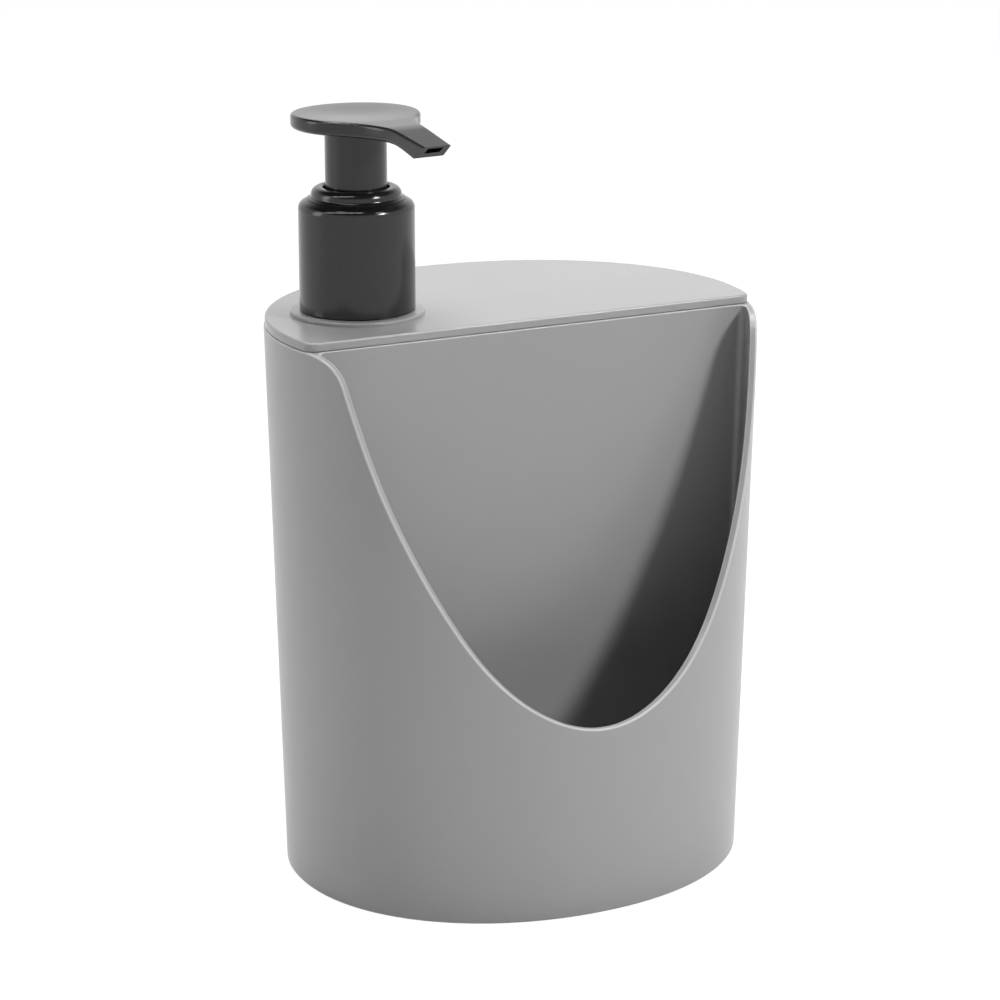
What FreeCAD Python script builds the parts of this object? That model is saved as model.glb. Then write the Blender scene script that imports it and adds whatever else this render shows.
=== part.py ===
import FreeCAD, Part
import math
import os

# Soap pump caddy: an oval pot with a soap reservoir behind a straight partition and
# a scooped sponge pocket in front of it. A flat lid closes the reservoir and carries
# a lotion pump. X runs along the partition, -Y is the pocket side, +Z is up, and the
# origin is the middle of the face that the pot stands on. All lengths are millimetres.

# Pot
rim_half_length = 59.0
rim_half_depth = 51.65
rim_height = 132.9
base_inset_long = 3.15
base_inset_deep = 3.46
oval_fullness = 2.08
oval_points = 24
wall = 1.7
floor_thickness = 2.5
base_chamfer = 0.4

# Partition between reservoir and pocket
partition_offset = 12.85
partition_thickness = 2.0
pocket_corner = 2.4
reservoir_corner = 3.0
floor_corner = 2.0

# Recess under the pot, which leaves a standing ring
foot_recess = 0.8
foot_width = 5.0

# Scoop in the pocket's front wall
scoop_floor = 46.1
scoop_clearance = 0.18
lip_radius = 3.1
lip_lean = 12.6
lip_crown = 0.12
scoop_shares = [(0.9174, 0.873), (0.8268, 0.637), (0.6549, 0.361), (0.3491, 0.091), (0.0, 0.0)]

# Lid
lid_inset = 0.27
lid_front_inset = 0.3
lid_thickness = 2.1
lid_corner = 3.0
lid_rounding = 0.5
seam_height = 0.18
seam_depth = 0.6
skirt_depth = 5.0
skirt_thickness = 1.5
skirt_clearance = 0.45
boss_radius = 15.8
boss_height = 1.0
boss_rounding = 0.45

# Threaded neck on the lid
neck_radius = 10.95
neck_bore_radius = 9.45
neck_height = 16.0
thread_pitch = 3.175
thread_turns = 2.5
thread_height = 0.85
thread_root_width = 2.0
thread_crest_width = 0.9
thread_sink = 0.2
thread_start = 4.4

# Pump axis, measured from the rim's -X end and from the partition's front
pump_end_distance = 24.45
pump_front_distance = 24.5

# Screw closure
closure_radius = 13.56
closure_bore_radius = 12.15
closure_gap = 0.3
closure_rise = 7.7
closure_plate = 1.5
closure_shoulder = 3.0
clamp_bore_radius = 9.9
clamp_radius = 11.0
closure_edge = 0.3

# Gasket
gasket_thickness = 1.0
gasket_radius = 10.9
gasket_bore_radius = 9.3

# Pump housing
flange_radius = 10.8
flange_thickness = 1.6
cup_radius = 9.15
cup_bore_radius = 8.4
cup_depth = 5.4
cup_floor = 1.5
cylinder_radius = 6.3
cylinder_bore_radius = 5.2
chamber_radius = 3.2
chamber_depth = 4.5
chamber_wall = 1.2
seat_height = 2.0
inlet_radius = 1.7
inlet_length = 1.5
socket_radius = 3.8
socket_length = 11.0
vent_radius = 0.5
vent_drop = 2.6

# Lock ring, which closes the housing and guides the plunger
ring_radius = 10.55
ring_thickness = 2.7
ring_rounding = 1.3
ring_neck_radius = 9.6
ring_bore_radius = 7.65
ring_floor = 1.5
guide_bore_radius = 2.85

# Pump head
pad_radius = 15.0
pad_thickness = 3.4
pad_rounding = 0.4
pad_edge = 1.0
press_clearance = 2.9
sleeve_radius = 7.2
sleeve_bore_radius = 6.1
sleeve_engagement = 4.2
socket_tube_radius = 3.9
socket_tube_length = 13.0
stem_fit = 0.07
spout_angle = -85.0
spout_reach = 37.5
spout_undercut = 4.2
spout_tip_half_width = 3.8
spout_taper = 4.0
spout_root_radius = 22.0
spout_bend_start = 18.0
spout_bend_radius = 85.0
channel_width = 3.9
channel_height = 1.7
channel_roof = 0.8

# Plunger
press_stroke = 11.0
stem_radius = 2.55
stem_bore_radius = 1.7
stem_stop = 0.6
shoulder_radius = 3.6
shoulder_height = 3.9
piston_slip = 1.2
piston_height = 7.0
piston_radius = 5.12
piston_waist_radius = 4.2
piston_lip = 1.5
rod_flange_radius = 4.6
rod_flange_thickness = 1.5
rod_neck_length = 1.0
rod_neck_radius = 2.3
rod_plug = 5.0
rod_pin_radius = 1.6
rod_pin_length = 5.0

# Return spring
spring_pressed_length = 7.8
spring_radius = 3.75
wire_radius = 0.45
spring_turns = 6
spring_end_clearance = 0.02

# Ball valve at the foot of the housing
cage_thickness = 2.2
cage_port_radius = 1.1
cage_port_circle = 2.1
cage_ports = 4
ball_radius = 2.4
ball_clearance = 0.03

# Dip tube
tube_radius = 2.6
tube_bore_radius = 1.8
tube_floor_gap = 2.0
tube_slant = 2.0

# Length by which every cutting tool runs past the piece that it cuts
overrun = 6.0

# Pump axis in plan
pump_x = pump_end_distance - rim_half_length
pump_y = pump_front_distance - partition_offset

# Levels, from the standing face upward
lid_top = rim_height + lid_thickness
boss_top = lid_top + boss_height
neck_top = boss_top + neck_height
flange_bottom = neck_top + gasket_thickness
flange_top = flange_bottom + flange_thickness
closure_top = flange_top + closure_rise
ring_top = closure_top + ring_thickness
pad_bottom = ring_top + press_clearance + press_stroke
pad_top = pad_bottom + pad_thickness
cup_bottom = flange_bottom - cup_depth
shoulder_bottom = cup_bottom - shoulder_height
piston_top = shoulder_bottom - piston_slip
piston_bottom = piston_top - piston_height
rod_flange_bottom = piston_bottom - rod_flange_thickness
cage_top = rod_flange_bottom - press_stroke - spring_pressed_length
cage_bottom = cage_top - cage_thickness
chamber_bottom = cage_bottom - chamber_depth
seat_bottom = chamber_bottom - seat_height
inlet_bottom = seat_bottom - inlet_length
sleeve_bottom = ring_top - sleeve_engagement
stem_top = pad_top - channel_roof - channel_height - stem_stop
stem_bottom = piston_bottom + rod_neck_length
socket_bottom = inlet_bottom - socket_length


def vector(x, y, z):
    return FreeCAD.Vector(x, y, z)


def save(shape, name):
    shape.exportStep("parts/" + name + ".step")


# Closed near-elliptical outline with the given half sizes at one height
def oval_wire(half_x, half_y, z):
    power = 2 / oval_fullness
    points = []
    for i in range(oval_points):
        angle = 2 * math.pi * i / oval_points
        c = math.cos(angle)
        s = math.sin(angle)
        x = math.copysign(abs(c) ** power, c) * half_x
        y = math.copysign(abs(s) ** power, s) * half_y
        points.append(vector(x, y, z))
    curve = Part.BSplineCurve()
    curve.interpolate(Points=points, PeriodicFlag=True)
    return Part.Wire([curve.toShape()])


# Half sizes of the pot's outside at a height, drawn in by an inset
def half_length_at(z, inset):
    return rim_half_length - base_inset_long * (1 - z / rim_height) - inset


def half_depth_at(z, inset):
    return rim_half_depth - base_inset_deep * (1 - z / rim_height) - inset


# Solid between two heights, following the pot's tapered outside drawn in by an inset
def oval_solid(inset, low, high):
    lower = oval_wire(half_length_at(low, inset), half_depth_at(low, inset), low)
    upper = oval_wire(half_length_at(high, inset), half_depth_at(high, inset), high)
    return Part.makeLoft([lower, upper], True, True)


# Box that covers the pot's plan from one y to another
def band(y_low, y_high, low, high):
    half = rim_half_length + overrun
    return Part.makeBox(2 * half, y_high - y_low, high - low, vector(-half, y_low, low))


def is_upright(edge):
    first = edge.Vertexes[0].Point
    last = edge.Vertexes[-1].Point
    return abs(last.z - first.z) > abs(last.x - first.x) + abs(last.y - first.y)


def is_level_at(edge, z):
    box = edge.BoundBox
    near = wall * 0.01
    return abs(box.ZMin - z) < near and abs(box.ZMax - z) < near


# Part of the tapered oval behind or in front of a plane, with rounded upright corners
def tub(inset, low, high, y_low, y_high, corner):
    shape = oval_solid(inset, low, high).common(band(y_low, y_high, low, high))
    edges = [e for e in shape.Edges if is_upright(e)]
    return shape.Solids[0].makeFillet(corner, edges)


# Solid of revolution round the pump axis from (radius, height) corners
def turned(corners):
    points = [vector(r, 0, z) for r, z in corners]
    face = Part.Face(Part.makePolygon(points + [points[0]]))
    return face.revolve(vector(0, 0, 0), vector(0, 0, 1), 360)


def rod(radius, low, high):
    return Part.makeCylinder(radius, high - low, vector(0, 0, low))


def tube(radius, bore, low, high):
    return rod(radius, low, high).cut(rod(bore, low - overrun, high + overrun))


def at_pump(shape):
    moved = shape.copy()
    moved.translate(vector(pump_x, pump_y, 0))
    return moved


# Round edge of a turned piece at one radius and height
def soften(shape, radius, at_radius, at_height):
    near = wall * 0.01
    chosen = []
    for edge in shape.Edges:
        if edge.Curve.TypeId != "Part::GeomCircle":
            continue
        same_height = abs(edge.Curve.Center.z - at_height) < near
        if same_height and abs(edge.Curve.Radius - at_radius) < near:
            chosen.append(edge)
    return shape.makeFillet(radius, chosen)


# Half width of the scoop at the rim: just inside the oval where the partition meets it
def scoop_half_width():
    share = (partition_offset / rim_half_depth) ** oval_fullness
    return rim_half_length * (1 - share) ** (1 / oval_fullness) - scoop_clearance


# Everything in front of the partition and above the scooped edge
def scoop_tool():
    half_width = scoop_half_width()
    crown = rim_height + lip_crown
    centre_z = crown - lip_radius
    lean = math.radians(lip_lean)
    lip_x = half_width - lip_radius * math.cos(lean)
    lip_z = centre_z + lip_radius * math.sin(lean)
    mid = math.radians((lip_lean + 90) / 2)
    mid_x = half_width - lip_radius * math.cos(mid)
    mid_z = centre_z + lip_radius * math.sin(mid)
    y = -partition_offset
    depth = rim_height - scoop_floor
    right = [vector(lip_x, y, lip_z)]
    for share_x, share_z in scoop_shares:
        right.append(vector(share_x * half_width, y, scoop_floor + share_z * depth))
    left = [vector(-p.x, y, p.z) for p in reversed(right[:-1])]
    curve = Part.BSplineCurve()
    fall = vector(-math.sin(lean), 0, -math.cos(lean))
    rise = vector(-math.sin(lean), 0, math.cos(lean))
    curve.interpolate(Points=right + left, InitialTangent=fall, FinalTangent=rise)
    right_end = vector(half_width, y, crown)
    left_end = vector(-half_width, y, crown)
    right_lip = Part.Arc(right_end, vector(mid_x, y, mid_z), right[0])
    left_lip = Part.Arc(left[-1], vector(-mid_x, y, mid_z), left_end)
    above = vector(0, 0, overrun)
    top = Part.makePolygon([left_end, left_end + above, right_end + above, right_end])
    edges = [right_lip.toShape(), curve.toShape(), left_lip.toShape()] + top.Edges
    face = Part.Face(Part.Wire(Part.__sortEdges__(edges)))
    return face.extrude(vector(0, -rim_half_depth - overrun, 0))


# Outside of the pot, with a small chamfer round the standing edge
def pot_outside():
    low = oval_wire(half_length_at(0, base_chamfer), half_depth_at(0, base_chamfer), 0)
    edge = base_chamfer
    middle = oval_wire(half_length_at(edge, 0), half_depth_at(edge, 0), edge)
    high = oval_wire(rim_half_length, rim_half_depth, rim_height)
    return Part.makeLoft([low, middle, high], True, True)


def caddy_body():
    body = pot_outside()
    back = partition_thickness - partition_offset
    far = rim_half_depth + overrun
    high = rim_height + overrun
    reservoir = tub(wall, floor_thickness, high, back, far, reservoir_corner)
    pocket = tub(wall, floor_thickness, high, -far, -partition_offset, pocket_corner)
    for cavity in (reservoir, pocket):
        bottom = [e for e in cavity.Edges if is_level_at(e, floor_thickness)]
        body = body.cut(cavity.makeFillet(floor_corner, bottom))
    body = body.cut(oval_solid(foot_width, -overrun, foot_recess))
    return body.cut(scoop_tool()).removeSplitter()


# Plan outline of the lid side: the oval behind a plane, at constant section
def d_prism(inset, y_front, corner, low, high):
    outline = oval_wire(rim_half_length - inset, rim_half_depth - inset, low)
    shape = Part.Face(outline).extrude(vector(0, 0, high - low))
    shape = shape.common(band(y_front, rim_half_depth + overrun, low, high))
    edges = [e for e in shape.Edges if is_upright(e)]
    return shape.Solids[0].makeFillet(corner, edges)


# One helical ridge on the neck, sunk a little into it
def neck_thread():
    turns_height = thread_pitch * thread_turns
    helix = Part.makeHelix(thread_pitch, turns_height, neck_radius)
    inner = neck_radius - thread_sink
    outer = neck_radius + thread_height
    root = thread_root_width / 2
    crest = thread_crest_width / 2
    corners = [(inner, -root), (outer, -crest), (outer, crest), (inner, root)]
    points = [vector(r, 0, z) for r, z in corners]
    profile = Part.makePolygon(points + [points[0]])
    ridge = Part.Wire(helix.Edges).makePipeShell([profile], True, True)
    ridge.translate(vector(0, 0, boss_top + thread_start))
    return ridge


def reservoir_lid():
    front = lid_front_inset - partition_offset
    plate_low = rim_height + seam_height
    lid = d_prism(lid_inset, front, lid_corner, plate_low, lid_top)
    lid = lid.makeFillet(lid_rounding, [e for e in lid.Edges if is_level_at(e, lid_top)])
    land_inset = lid_inset + seam_depth
    land = d_prism(land_inset, front + seam_depth, lid_corner, rim_height, plate_low)
    skirt_low = rim_height - skirt_depth
    skirt_inset = wall + skirt_clearance
    skirt_front = partition_thickness - partition_offset + skirt_clearance
    skirt = d_prism(skirt_inset, skirt_front, reservoir_corner, skirt_low, plate_low)
    hollow_inset = skirt_inset + skirt_thickness
    hollow_front = skirt_front + skirt_thickness
    hollow = d_prism(hollow_inset, hollow_front, reservoir_corner, skirt_low, rim_height)
    boss = at_pump(soften(rod(boss_radius, plate_low, boss_top), boss_rounding, boss_radius, boss_top))
    neck = at_pump(rod(neck_radius, plate_low, neck_top))
    lid = lid.fuse([land, skirt.cut(hollow), boss, neck, at_pump(neck_thread())])
    bore = at_pump(rod(neck_bore_radius, skirt_low - overrun, neck_top + overrun))
    return lid.cut(bore).removeSplitter()


def pump_closure():
    low = boss_top + closure_gap
    under = closure_top - closure_plate
    body = turned([
        (closure_bore_radius, low),
        (closure_radius, low),
        (closure_radius, closure_top),
        (clamp_bore_radius, closure_top),
        (clamp_bore_radius, flange_top),
        (clamp_radius, flange_top),
        (clamp_radius, under),
        (closure_bore_radius, under),
    ])
    body = soften(body, closure_shoulder, closure_radius, closure_top)
    return at_pump(soften(body, closure_edge, closure_radius, low))


def housing_gasket():
    return at_pump(tube(gasket_radius, gasket_bore_radius, neck_top, flange_bottom))


def pump_housing():
    step = cup_bottom - cup_floor
    body = turned([
        (cup_bore_radius, flange_top),
        (flange_radius, flange_top),
        (flange_radius, flange_bottom),
        (cup_radius, flange_bottom),
        (cup_radius, step),
        (cylinder_radius, step),
        (cylinder_radius, cage_bottom - cup_floor),
        (chamber_radius + chamber_wall, chamber_bottom),
        (socket_radius, inlet_bottom),
        (socket_radius, socket_bottom),
        (tube_radius, socket_bottom),
        (tube_radius, inlet_bottom),
        (inlet_radius, inlet_bottom),
        (inlet_radius, seat_bottom),
        (chamber_radius, chamber_bottom),
        (chamber_radius, cage_bottom),
        (cylinder_bore_radius, cage_bottom),
        (cylinder_bore_radius, cup_bottom),
        (cup_bore_radius, cup_bottom),
    ])
    vent = Part.makeCylinder(vent_radius, cylinder_radius + overrun, vector(0, 0, step - vent_drop), vector(1, 0, 0))
    return at_pump(body.cut(vent))


def lock_ring():
    body = turned([
        (ring_bore_radius, ring_top),
        (ring_radius, ring_top),
        (ring_radius, closure_top),
        (ring_neck_radius, closure_top),
        (ring_neck_radius, flange_top),
        (cup_bore_radius, flange_top),
        (cup_bore_radius, cup_bottom),
        (guide_bore_radius, cup_bottom),
        (guide_bore_radius, cup_bottom + ring_floor),
        (ring_bore_radius, cup_bottom + ring_floor),
    ])
    return at_pump(soften(body, ring_rounding, ring_radius, ring_top))


# Plan of pad and spout, the spout pointing along +X, as one closed wire
def head_outline():
    taper = math.radians(spout_taper)
    along = vector(math.cos(taper), -math.sin(taper), 0)
    out = vector(math.sin(taper), math.cos(taper), 0)
    tip = vector(spout_reach, spout_tip_half_width, 0)
    offset = tip + out * spout_root_radius
    reach = pad_radius + spout_root_radius
    half = offset.dot(along)
    back = half + math.sqrt(half ** 2 - offset.dot(offset) + reach ** 2)
    centre = offset - along * back
    if centre.x < 0:
        back = half - math.sqrt(half ** 2 - offset.dot(offset) + reach ** 2)
        centre = offset - along * back
    on_line = centre - out * spout_root_radius
    on_pad = centre * (pad_radius / reach)
    towards = (on_line + on_pad) * 0.5 - centre
    middle = centre + towards * (spout_root_radius / towards.Length)
    mirror = [vector(p.x, -p.y, 0) for p in (tip, on_line, middle, on_pad)]
    edges = [
        Part.LineSegment(mirror[0], tip),
        Part.LineSegment(tip, on_line),
        Part.Arc(on_line, middle, on_pad),
        Part.Arc(on_pad, vector(-pad_radius, 0, 0), mirror[3]),
        Part.Arc(mirror[3], mirror[2], mirror[1]),
        Part.LineSegment(mirror[1], mirror[0]),
    ]
    return Part.Wire([e.toShape() for e in edges])


# Drop of the spout's bend at a distance from the axis
def bend_drop(s):
    run = s - spout_bend_start
    return spout_bend_radius - math.sqrt(spout_bend_radius ** 2 - run ** 2)


# Upright slab with a flat stretch that bends down into the spout, ended by a slant
def bent_slab(start, top_reach, low_reach, top, bottom, width):
    y = -width / 2
    top_middle = (spout_bend_start + top_reach) / 2
    low_middle = (spout_bend_start + low_reach) / 2
    top_bend = vector(spout_bend_start, y, top)
    top_tip = vector(top_reach, y, top - bend_drop(top_reach))
    low_tip = vector(low_reach, y, bottom - bend_drop(low_reach))
    low_bend = vector(spout_bend_start, y, bottom)
    edges = [
        Part.LineSegment(vector(start, y, top), top_bend),
        Part.Arc(top_bend, vector(top_middle, y, top - bend_drop(top_middle)), top_tip),
        Part.LineSegment(top_tip, low_tip),
        Part.Arc(low_tip, vector(low_middle, y, bottom - bend_drop(low_middle)), low_bend),
        Part.LineSegment(low_bend, vector(start, y, bottom)),
        Part.LineSegment(vector(start, y, bottom), vector(start, y, top)),
    ]
    face = Part.Face(Part.Wire([e.toShape() for e in edges]))
    return face.extrude(vector(0, width, 0))


# Edges that run along the top or bottom outline, leaving the mouth sharp
def outline_edges(shape, upper):
    chosen = []
    for edge in shape.Edges:
        box = edge.BoundBox
        if is_upright(edge) or box.XMax > spout_reach - spout_undercut * 1.01 and box.XLength < spout_undercut:
            continue
        middle = (box.ZMin + box.ZMax) / 2
        near_top = pad_top - middle < middle - pad_bottom
        if near_top == upper:
            chosen.append(edge)
    return chosen


def actuator_head():
    low = pad_bottom - overrun
    plan = Part.Face(head_outline())
    plan.translate(vector(0, 0, low))
    mouth_reach = spout_reach - spout_undercut
    slab_width = 2 * pad_radius + 2 * overrun
    slab = bent_slab(-slab_width, spout_reach, mouth_reach, pad_top, pad_bottom, slab_width)
    head = plan.extrude(vector(0, 0, pad_thickness + 2 * overrun)).common(slab).Solids[0]
    head = head.makeFillet(pad_rounding, outline_edges(head, True))
    head = head.makeFillet(pad_edge, outline_edges(head, False))
    inside = pad_bottom + pad_edge
    holder_low = pad_bottom - socket_tube_length
    stem_bore = stem_radius + stem_fit
    sleeve = tube(sleeve_radius, sleeve_bore_radius, sleeve_bottom, inside)
    head = head.fuse([sleeve, rod(socket_tube_radius, holder_low, inside)])
    head = head.cut(rod(stem_bore, holder_low - overrun, stem_top))
    channel_top = pad_top - channel_roof
    past = spout_reach + overrun
    channel_low = channel_top - channel_height
    channel = bent_slab(-stem_bore_radius, past, past, channel_top, channel_low, channel_width)
    head = head.cut(channel).cut(rod(stem_bore_radius, holder_low, channel_top))
    head.rotate(vector(0, 0, 0), vector(0, 0, 1), spout_angle)
    return at_pump(head.removeSplitter())


def upper_stem():
    return at_pump(turned([
        (stem_bore_radius, stem_top),
        (stem_radius, stem_top),
        (stem_radius, cup_bottom),
        (shoulder_radius, cup_bottom),
        (shoulder_radius, shoulder_bottom),
        (stem_radius, shoulder_bottom),
        (stem_radius, stem_bottom),
        (stem_bore_radius, stem_bottom),
    ]))


# Plug in the stem's foot, with the flange that the spring pushes on
def piston_rod():
    return at_pump(turned([
        (0, stem_bottom + rod_plug),
        (stem_bore_radius, stem_bottom + rod_plug),
        (stem_bore_radius, stem_bottom),
        (rod_neck_radius, stem_bottom),
        (rod_neck_radius, piston_bottom),
        (rod_flange_radius, piston_bottom),
        (rod_flange_radius, rod_flange_bottom),
        (rod_pin_radius, rod_flange_bottom),
        (rod_pin_radius, rod_flange_bottom - rod_pin_length),
        (0, rod_flange_bottom - rod_pin_length),
    ]))


def piston():
    bore = stem_radius + stem_fit
    return at_pump(turned([
        (bore, piston_top),
        (piston_radius, piston_top),
        (piston_radius, piston_top - piston_lip),
        (piston_waist_radius, piston_top - piston_lip),
        (piston_waist_radius, piston_bottom + piston_lip),
        (piston_radius, piston_bottom + piston_lip),
        (piston_radius, piston_bottom),
        (bore, piston_bottom),
    ]))


# Two arcs that leave one point and reach another along given directions
def biarc(start, start_way, end, end_way):
    span = end - start
    ways = start_way + end_way
    square = 4 - ways.dot(ways)
    reach = span.dot(ways)
    arm = (math.sqrt(reach ** 2 + square * span.dot(span)) - reach) / square
    first = start + start_way * arm
    last = end - end_way * arm
    joint = (first + last) * 0.5
    arcs = []
    for a, corner, b in ((start, first, joint), (joint, last, end)):
        middle = (a + b) * 0.5
        cosine = (b - a).Length / 2 / (corner - a).Length
        arcs.append(Part.Arc(a, middle + (corner - middle) * (cosine / (1 + cosine)), b))
    return arcs


# Wire centre line of the spring, and its least gap to the next turn measured on points
def return_spring():
    low = cage_top + wire_radius + spring_end_clearance
    high = rod_flange_bottom - wire_radius - spring_end_clearance
    rise = (high - low) / spring_turns
    steps = 4 * spring_turns
    slope = rise / (2 * math.pi)
    places = []
    ways = []
    for i in range(steps + 1):
        angle = math.pi / 2 * i
        c = math.cos(angle) * spring_radius
        s = math.sin(angle) * spring_radius
        places.append(vector(c, s, low + slope * angle))
        ways.append(vector(-s, c, slope).normalize())
    arcs = []
    for i in range(steps):
        arcs += biarc(places[i], ways[i], places[i + 1], ways[i + 1])
    path = Part.Wire([a.toShape() for a in arcs])
    ring = Part.Wire([Part.Circle(places[0], ways[0], wire_radius).toShape()])
    coil = path.makePipeShell([ring], True, False)
    print("spring gap between turns", least_gap(places))
    return at_pump(coil)


def least_gap(places):
    gaps = []
    for i in range(len(places) - 3):
        gaps.append(min((places[i] - p).Length for p in places[i + 3:]))
    return min(gaps) - 2 * wire_radius


# Ported disc over the ball, which the spring stands on
def ball_cage():
    cage = rod(cylinder_bore_radius, cage_bottom, cage_top)
    for i in range(cage_ports):
        port = rod(cage_port_radius, cage_bottom - overrun, cage_top + overrun)
        angle = 2 * math.pi * i / cage_ports
        port.translate(vector(math.cos(angle), math.sin(angle), 0) * cage_port_circle)
        cage = cage.cut(port)
    return at_pump(cage)


# Ball resting in the cone of the housing's foot
def check_ball():
    half_angle = math.atan2(chamber_radius - inlet_radius, seat_height)
    apex = seat_bottom - inlet_radius / math.tan(half_angle)
    centre = apex + ball_radius / math.sin(half_angle) + ball_clearance
    return at_pump(Part.makeSphere(ball_radius, vector(0, 0, centre)))


def dip_tube():
    low = floor_thickness + tube_floor_gap
    body = tube(tube_radius, tube_bore_radius, low, inlet_bottom)
    side = 2 * tube_radius
    points = [
        vector(-side, -side, low),
        vector(side, -side, low),
        vector(side, -side, low + tube_slant * 2),
    ]
    wedge = Part.Face(Part.makePolygon(points + [points[0]])).extrude(vector(0, 2 * side, 0))
    return at_pump(body.cut(wedge))


pieces = [
    caddy_body,
    reservoir_lid,
    pump_closure,
    housing_gasket,
    pump_housing,
    lock_ring,
    actuator_head,
    upper_stem,
    piston_rod,
    piston,
    return_spring,
    ball_cage,
    check_ball,
    dip_tube,
]

os.makedirs("parts", exist_ok=True)
for piece in pieces:
    shape = piece()
    save(shape, piece.__name__)
    box = shape.BoundBox
    size = [round(v, 2) for v in (box.XMin, box.XMax, box.YMin, box.YMax, box.ZMin, box.ZMax)]
    print(piece.__name__, shape.isValid(), len(shape.Solids), round(shape.Volume, 1), size)
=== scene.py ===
import bmesh
import bpy
import math
import numpy as np
from functools import lru_cache
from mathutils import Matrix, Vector
from mathutils.kdtree import KDTree


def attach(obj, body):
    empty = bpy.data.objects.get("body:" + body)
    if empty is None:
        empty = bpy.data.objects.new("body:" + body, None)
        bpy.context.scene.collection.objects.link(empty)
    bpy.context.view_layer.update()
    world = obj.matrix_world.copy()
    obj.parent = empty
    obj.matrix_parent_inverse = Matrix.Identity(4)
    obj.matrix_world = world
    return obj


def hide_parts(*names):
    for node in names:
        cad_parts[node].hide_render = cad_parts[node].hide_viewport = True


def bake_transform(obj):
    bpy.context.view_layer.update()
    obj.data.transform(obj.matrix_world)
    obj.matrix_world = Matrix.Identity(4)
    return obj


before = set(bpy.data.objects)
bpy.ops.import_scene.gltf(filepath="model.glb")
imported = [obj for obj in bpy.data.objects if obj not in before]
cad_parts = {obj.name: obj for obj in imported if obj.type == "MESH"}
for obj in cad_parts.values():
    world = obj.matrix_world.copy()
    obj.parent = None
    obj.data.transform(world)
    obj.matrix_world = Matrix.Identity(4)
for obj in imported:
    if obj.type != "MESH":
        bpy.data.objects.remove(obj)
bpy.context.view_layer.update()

# ---------------------------------------------------------------------------
# Pot
# The grey pot is one injection moulding of polypropylene: an oval tub with a
# straight partition across it. Behind the partition is the soap reservoir, and
# in front the sponge pocket, whose wall is scooped down to a soft U.
# ---------------------------------------------------------------------------

# One millimetre in the scene's metres. The sizes below are in millimetres
MM = 0.001

# The outside is a little fuller than an ellipse and narrows toward the base
rim_half_length = 59.0
rim_half_depth = 51.65
rim_height = 132.9
base_inset_long = 3.15
base_inset_deep = 3.46
oval_power = 2.08
pot_wall = 1.7
pocket_floor = 2.5
floor_corner = 2.0
foot_recess = 0.8
foot_width = 5.0
scoop_outer_rounding = 0.42
scoop_inner_rounding = 0.3
mouth_rounding = 0.4
standing_rounding = 0.6

# Each cavity has its side of the pot, -1 for the front, the place of the
# partition's face in y, and the radius of its upright corners
pocket = {"side": -1, "plane": -12.85, "corner": 1.6}
reservoir = {"side": 1, "plane": -10.85, "corner": 3.0}

# How often a search halves its range, and the turn from the oval's long axis
# within which every upright corner lies
halvings = 46
corner_turn_limit = 1.2


def signed_power(value, power):
    return math.copysign(abs(value) ** power, value)


# Half length and half depth of the tapered oval at a height, drawn in by an inset
def oval_halves(z, inset):
    low = 1 - z / rim_height
    half_x = rim_half_length - base_inset_long * low - inset
    half_y = rim_half_depth - base_inset_deep * low - inset
    return half_x, half_y


# Point of that oval at a turn from its long axis; side -1 puts it on the front
def oval_point(turn, z, inset, side=1):
    half_x, half_y = oval_halves(z, inset)
    x = half_x * signed_power(math.cos(turn), 2 / oval_power)
    y = half_y * signed_power(math.sin(turn), 2 / oval_power)
    return x, side * y


# Level direction that leads straight out of the wall at the same point
def oval_normal(turn, z, inset, side):
    half_x, half_y = oval_halves(z, inset)
    x, y = oval_point(turn, z, inset, side)
    nx = signed_power(x / half_x, oval_power - 1) / half_x
    ny = signed_power(y / half_y, oval_power - 1) / half_y
    size = math.hypot(nx, ny)
    return nx / size, ny / size


# Where a cavity's rounded upright corner leaves the oval wall, and its centre
@lru_cache(maxsize=None)
def cavity_corner(z, offset, side, plane, corner):
    inset = pot_wall + offset
    radius = corner - offset
    centre_y = plane + side * offset + side * radius
    low, high = -corner_turn_limit, corner_turn_limit
    for _ in range(halvings):
        turn = (low + high) / 2
        wall_y = oval_point(turn, z, inset, side)[1]
        if side * (wall_y - radius * oval_normal(turn, z, inset, side)[1]) > side * centre_y:
            high = turn
        else:
            low = turn
    nx, ny = oval_normal(turn, z, inset, side)
    centre_x = oval_point(turn, z, inset, side)[0] - radius * nx
    return turn, centre_x, centre_y, radius, math.atan2(ny, nx)


# Station 0 is where the corner leaves the partition, 1 where it meets the oval
# wall, and the last one the middle of that wall
middle_station = 1.5


def cavity_point(station, z, offset, cavity):
    side, plane, corner = cavity["side"], cavity["plane"], cavity["corner"]
    turn, cx, cy, radius, wall_angle = cavity_corner(round(z, 5), offset, side, plane, corner)
    if station <= 1:
        start = -side * math.pi / 2
        angle = start + (wall_angle - start) * station
        return cx + radius * math.cos(angle), cy + radius * math.sin(angle)
    share = (station - 1) / (middle_station - 1)
    return oval_point(turn + (math.pi / 2 - turn) * share, z, pot_wall + offset, side)


# Half of the scooped edge as (x, z) points: one smooth line through the depths of
# the scoop and up over the lip, where it meets the level rim at a slight corner.
# The depths are shares of the rim's half length and of the height over the
# scoop's lowest point
scoop_floor = 46.1
scoop_depths = [(0.0, 0.0), (0.339, 0.091), (0.636, 0.361), (0.803, 0.637), (0.891, 0.873)]
lip_points = [(53.17, 124.85), (53.6, 127.0), (53.93, 128.3), (54.31, 129.4), (54.88, 130.6),
              (55.5, 131.5), (56.3, 132.25), (57.0, 132.7), (57.7, rim_height)]
lip_end_slope = math.radians(12)
scoop_line_steps = 30


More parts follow.
